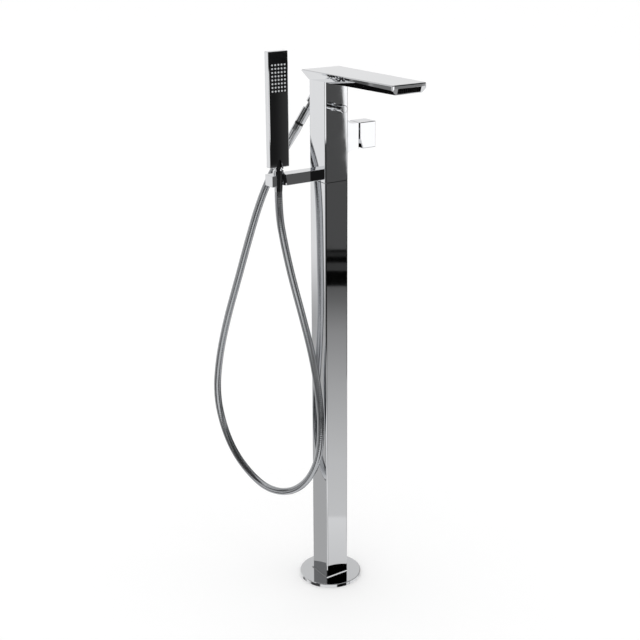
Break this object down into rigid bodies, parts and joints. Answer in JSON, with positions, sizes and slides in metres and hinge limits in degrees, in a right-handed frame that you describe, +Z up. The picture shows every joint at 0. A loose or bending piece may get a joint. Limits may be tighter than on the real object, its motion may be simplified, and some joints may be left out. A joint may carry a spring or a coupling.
{
  "type": "floor standing bath filler",
  "caption": "Floor standing bath filler with a square column, flat spout, side lever, pull diverter and a stick hand shower on a hose in a fork arm.",
  "frame": {"origin": "centre of the foot on the floor, on the square column's axis", "axes": "+Z up along the column, -Y along the spout to the bath, +X to the lever's side, -X to the hand shower's side"},
  "size_m": [0.2458, 0.4222, 1.05],
  "materials": {
    "chrome": "polished chrome plate on brass",
    "brass": "machined, uncoated, hidden inside",
    "steel": "stainless, as machined",
    "copper_pipe": "drawn copper tube, dull",
    "seal_rubber": "moulded, matt black",
    "black_plastic": "moulded, satin black",
    "nozzle_rubber": "moulded silicone, pale grey",
    "cartridge_plastic": "moulded, off-white",
    "hose_silver": "smooth silver plastic cover"
  },
  "bodies": {
    "column": {"floor_flange": "steel", "column_tube": "chrome", "joint_seal": "seal_rubber", "foot_grub_screws": "steel", "head_grub_screws": "steel", "hot_inlet": "brass", "hot_riser": "copper_pipe", "cold_inlet": "brass", "cold_riser": "copper_pipe", "riser_spacer": "black_plastic", "mixer_body": "chrome", "spout_tray": "chrome", "spout_top_plate": "chrome", "flow_grid": "black_plastic", "spout_screws": "steel", "cartridge_seals": "seal_rubber", "cartridge": "cartridge_plastic", "cartridge_nut": "chrome", "diverter_sleeve": "chrome", "outlet_spigot": "chrome", "outlet_elbow": "chrome", "outlet_check_valve": "chrome", "outlet_washer": "black_plastic", "outlet_hose_nut": "chrome", "holder_arm": "chrome", "arm_fixing_stud": "steel", "arm_locating_pin": "steel", "shower_hose": "hose_silver"},
    "foot_cover": {"foot_cover": "chrome"},
    "carrier": {"lever_carrier": "cartridge_plastic", "stem_pivot": "steel"},
    "lever": {"lever_stem": "steel", "lever_handle": "chrome", "handle_screw": "steel"},
    "diverter": {"diverter_spindle": "chrome", "spindle_seal": "seal_rubber", "diverter_disc": "seal_rubber", "diverter_knob": "chrome"},
    "hose_end": {"hose_cone_nut": "chrome", "hose_washer": "seal_rubber"},
    "handset": {"handset_stem": "chrome", "handset_body": "chrome", "spray_plate": "black_plastic", "nozzle_mat": "nozzle_rubber"}
  },
  "joints": [
    {"name": "mixing_turn", "type": "hinge", "parent": "column", "child": "carrier", "pos_m": [0.04, 0, 0.8905], "axis": [1, 0, 0], "range_deg": [-50, 50]},
    {"name": "flow_tilt", "type": "hinge", "parent": "carrier", "child": "lever", "pos_m": [0.04, 0, 0.8905], "axis": [0, 1, 0], "range_deg": [0, 14]},
    {"name": "diverter_pull", "type": "slide", "parent": "column", "child": "diverter", "axis": [0, -1, 0], "range_m": [0, 0.008]},
    {"name": "handset_lift", "type": "slide", "parent": "column", "child": "hose_end", "axis": [0, 0, 1], "range_m": [0, 0.035]},
    {"name": "handset_swivel", "type": "hinge", "parent": "hose_end", "child": "handset", "pos_m": [-0.101, 0.012, 0.8415], "axis": [0, 0, 1], "continuous": true},
    {"name": "foot_cover_lift", "type": "slide", "parent": "column", "child": "foot_cover", "axis": [0, 0, 1], "range_m": [0, 0.08]}
  ]
}
